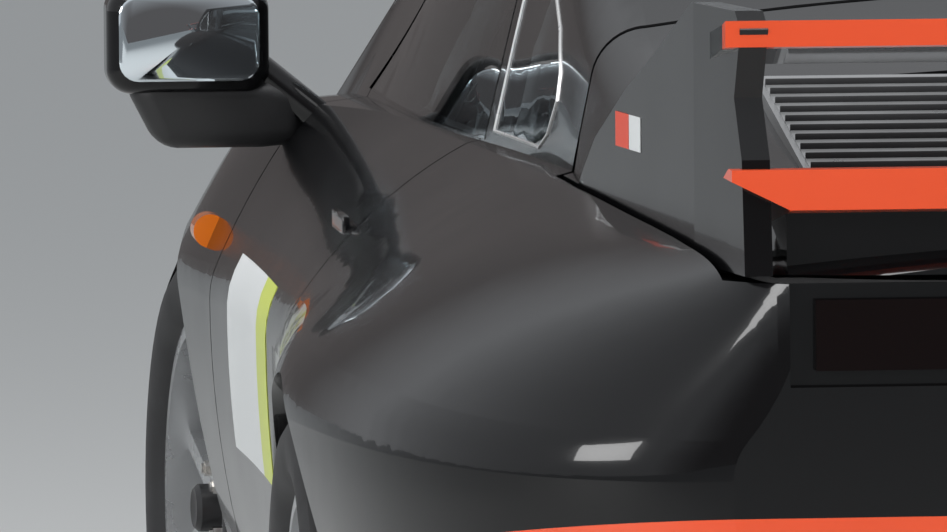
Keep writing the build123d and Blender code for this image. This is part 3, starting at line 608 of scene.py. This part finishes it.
# Wipers: a pressed steel arm from a spindle on the cowl, painted black, and a rubber blade that lies on the
# windscreen.
BLADE_X = {"left": -0.30, "right": 0.24}
BLADE_SIZE = (0.5, 0.012)
BLADE_Y, BLADE_FROM_Z = 0.80, 1.4
BLADE_TURN = 0.06
BLADE_LIFT, BLADE_THICK = 0.003, 0.009
SPINDLE_ASIDE, SPINDLE_Y = 0.22, 0.905
ABOVE_ROOF_Z = 1.5
ARM_W, ARM_H = 0.014, 0.007
ARM_OVER_GLASS, ARM_TIP, ARM_LIFT = 0.016, 0.012, 0.004
for side, x in BLADE_X.items():
    blade = pressed_on("fixed_glass", BLADE_SIZE, (x, BLADE_Y, BLADE_FROM_Z), (0, 0, BLADE_TURN), (20, 2),
                       lift=BLADE_LIFT, thick=BLADE_THICK)
    settle(blade, f"wiper_blade_{side}", satin_black, "chassis")
    glass, cowl = bpy.data.objects["fixed_glass"], bpy.data.objects["cabin_frame"]
    _, rest, _, _ = glass.ray_cast(Vector((x, BLADE_Y, ABOVE_ROOF_Z)), Vector((0, 0, -1)))
    _, spindle, _, _ = cowl.ray_cast(Vector((x + SPINDLE_ASIDE, SPINDLE_Y, ABOVE_ROOF_Z)), Vector((0, 0, -1)))
    reach = rest + Vector((0, 0, ARM_OVER_GLASS)) - spindle
    arm = block((ARM_W, ARM_H, reach.length))
    pick_faces(arm, lambda c, n: n.z > FACES_ONE_WAY)
    bpy.ops.transform.resize(value=(0.6, 0.6, 1))
    bpy.ops.mesh.extrude_faces_move(TRANSFORM_OT_shrink_fatten={"value": ARM_TIP})
    bpy.ops.object.mode_set(mode="OBJECT")
    lay = reach.to_track_quat("Z", "Y").to_matrix().to_4x4()
    arm.matrix_world = Matrix.Translation(spindle + reach / 2 + Vector((0, 0, ARM_LIFT))) @ lay
    settle(arm, f"wiper_arm_{side}", satin_black, "chassis")

# Seat pads: foam under quilted black cloth, one on the base and one on the back of each bucket seat, laid in
# the moulded shell.
YARN_WAVES = 130
YARN_H = 0.0004
SEAT_X = 0.345
# Name, size, place (along the car and up), lean
SEAT_PADS = (("base", (0.36, 0.27, 0.05), (0.062, 0.385), math.radians(17.5)),
             ("back", (0.36, 0.44, 0.05), (-0.196, 0.635), math.radians(107)))
QUILT_RISE, CHANNEL_W, CHANNEL_RISE = 0.008, 0.006, 0.006
QUILT_HALF_W, QUILT_HALF_L = 0.8, 0.9
CHANNEL_FROM, CHANNEL_HALF_L = 0.25, 0.7
FACES_UP = 0.3
seat_cloth = finish("seat_cloth", (0.03, 0.03, 0.032), roughness=0.95, wear=0.05)
threads = seat_cloth.node_tree
cloth_place = threads.nodes.new("ShaderNodeTexCoord")
over_under = threads.nodes.new("ShaderNodeMath")
over_under.operation = "MULTIPLY"
for socket, across in zip(over_under.inputs, ("X", "Y")):
    yarn = threads.nodes.new("ShaderNodeTexWave")
    yarn.bands_direction = across
    yarn.inputs["Scale"].default_value = YARN_WAVES
    threads.links.new(cloth_place.outputs["Object"], yarn.inputs["Vector"])
    threads.links.new(yarn.outputs["Fac"], socket)
cloth_relief = threads.nodes.new("ShaderNodeBump")
cloth_relief.inputs["Distance"].default_value = YARN_H
threads.links.new(over_under.outputs[0], cloth_relief.inputs["Height"])
threads.links.new(cloth_relief.outputs["Normal"], threads.nodes["Principled BSDF"].inputs["Normal"])
for side, s in (("left", -1), ("right", 1)):
    for name, size, at, lean in SEAT_PADS:
        pad = block(size)
        bpy.ops.object.mode_set(mode="EDIT")
        bpy.ops.mesh.subdivide(number_cuts=5)
        bpy.ops.object.mode_set(mode="OBJECT")
        limit = Vector(size) / 2
        pick_faces(pad, lambda c, n: n.z > FACES_ONE_WAY and abs(c.x) < limit.x * QUILT_HALF_W
                   and abs(c.y) < limit.y * QUILT_HALF_L)
        bpy.ops.transform.translate(value=(0, 0, QUILT_RISE))
        pick_faces(pad, lambda c, n: n.z > FACES_UP and abs(c.y) < CHANNEL_HALF_L * limit.y
                   and CHANNEL_FROM * limit.x < abs(c.x) < QUILT_HALF_W * limit.x)
        bpy.ops.mesh.inset(thickness=CHANNEL_W)
        bpy.ops.mesh.extrude_faces_move(TRANSFORM_OT_shrink_fatten={"value": CHANNEL_RISE})
        bpy.ops.object.mode_set(mode="OBJECT")
        soft = pad.modifiers.new("soft", "SUBSURF")
        soft.levels = soft.render_levels = 2
        bpy.ops.object.modifier_apply(modifier="soft")
        pad.matrix_world = Matrix.Translation((s * SEAT_X, *at)) @ Matrix.Rotation(lean, 4, "X")
        settle(pad, f"seat_{name}_pad_{side}", seat_cloth, "chassis", sharp=60)

# Floor: a pale even ground under the car, so wide that its edge doesn't show.
FLOOR_SIDE = 120
bpy.ops.object.select_all(action="DESELECT")
bpy.ops.mesh.primitive_plane_add(size=FLOOR_SIDE, location=(0, 0, 0))
ground = bpy.context.object
ground.name = "ground"
ground.data.materials.append(finish("pale_ground", (0.62, 0.62, 0.61), roughness=0.8))

# Studio light: a pale surround, a broad lamp overhead and two standing panels. In reflections the surround is
# darker straight ahead and straight behind, like a hall with open ends.
BACKDROP = (0.4, 0.41, 0.42, 1)
SKYLIGHT = (0.9, 0.95, 1.0, 1)
SKYLIGHT_LEVEL = 0.45
HALL_SIDES = (0.75, 0.77, 0.8, 1)
HALL_ENDS = (0.13, 0.12, 0.12, 1)
ENDS_FROM, ENDS_TO = 0.8, 0.96
# Place, aim, power in watts, width, height
LAMPS = (((-1.5, -2.0, 6.0), (0, -0.8, 0.6), 320, 4.0, 3.0),
         ((-7.0, -6.0, 3.2), (-0.6, -0.8, 0.7), 260, 3.0, 2.2),
         ((5.0, -7.5, 3.0), (0.2, -1.4, 0.7), 140, 2.2, 2.2))
world = bpy.context.scene.world or bpy.data.worlds.new("studio")
bpy.context.scene.world = world
world.use_nodes = True
tree = world.node_tree
tree.nodes.clear()
output = tree.nodes.new("ShaderNodeOutputWorld")
path = tree.nodes.new("ShaderNodeLightPath")

backdrop = tree.nodes.new("ShaderNodeBackground")
backdrop.inputs["Color"].default_value = BACKDROP
skylight = tree.nodes.new("ShaderNodeBackground")
skylight.inputs["Color"].default_value = SKYLIGHT
skylight.inputs["Strength"].default_value = SKYLIGHT_LEVEL
seen_rays = tree.nodes.new("ShaderNodeMath")
seen_rays.operation = "MAXIMUM"
seen_or_lit = tree.nodes.new("ShaderNodeMixShader")
tree.links.new(path.outputs["Is Camera Ray"], seen_rays.inputs[0])
tree.links.new(path.outputs["Is Transmission Ray"], seen_rays.inputs[1])
tree.links.new(seen_rays.outputs[0], seen_or_lit.inputs[0])
tree.links.new(skylight.outputs[0], seen_or_lit.inputs[1])
tree.links.new(backdrop.outputs[0], seen_or_lit.inputs[2])

direction = tree.nodes.new("ShaderNodeTexCoord")
along = tree.nodes.new("ShaderNodeSeparateXYZ")
either_end = tree.nodes.new("ShaderNodeMath")
either_end.operation = "ABSOLUTE"
endwards = tree.nodes.new("ShaderNodeMapRange")
endwards.inputs["From Min"].default_value = ENDS_FROM
endwards.inputs["From Max"].default_value = ENDS_TO
hall = tree.nodes.new("ShaderNodeMix")
hall.data_type = "RGBA"
hall.inputs[SHADE_A].default_value = HALL_SIDES
hall.inputs[SHADE_B].default_value = HALL_ENDS
mirrored = tree.nodes.new("ShaderNodeBackground")
with_mirrored = tree.nodes.new("ShaderNodeMixShader")
tree.links.new(direction.outputs["Generated"], along.inputs[0])
tree.links.new(along.outputs["Y"], either_end.inputs[0])
tree.links.new(either_end.outputs[0], endwards.inputs["Value"])
tree.links.new(endwards.outputs["Result"], hall.inputs["Factor"])
tree.links.new(hall.outputs[SHADE_OUT], mirrored.inputs["Color"])
tree.links.new(path.outputs["Is Glossy Ray"], with_mirrored.inputs[0])
tree.links.new(seen_or_lit.outputs[0], with_mirrored.inputs[1])
tree.links.new(mirrored.outputs[0], with_mirrored.inputs[2])
tree.links.new(with_mirrored.outputs[0], output.inputs["Surface"])

for at, aim, power, width, height in LAMPS:
    bpy.ops.object.light_add(type="AREA", location=at)
    panel = bpy.context.object
    panel.data.shape = "RECTANGLE"
    panel.data.size = width
    panel.data.size_y = height
    panel.data.energy = power
    panel.rotation_euler = (Vector(aim) - Vector(at)).to_track_quat("-Z", "Y").to_euler()

# Camera: a long lens behind the left side, a little above the roof's height, where the picture was taken.
# Yaw, pitch and roll are in degrees, and the focal length is in pixels of the picture.
CAMERA_AT = (-1.746, -12.453, 1.602)
YAW, PITCH, ROLL = 5.4, 4.07, 0.4
FOCAL_PX = 10650
IMAGE_W = 947
SENSOR_MM = 36
bpy.ops.object.camera_add(location=CAMERA_AT, rotation=(math.radians(90 - PITCH), math.radians(ROLL),
                                                         math.radians(-YAW)))
camera = bpy.context.object
camera.data.sensor_width = SENSOR_MM
camera.data.lens = FOCAL_PX / IMAGE_W * SENSOR_MM
bpy.context.scene.camera = camera
bpy.context.scene.view_settings.view_transform = "Standard"
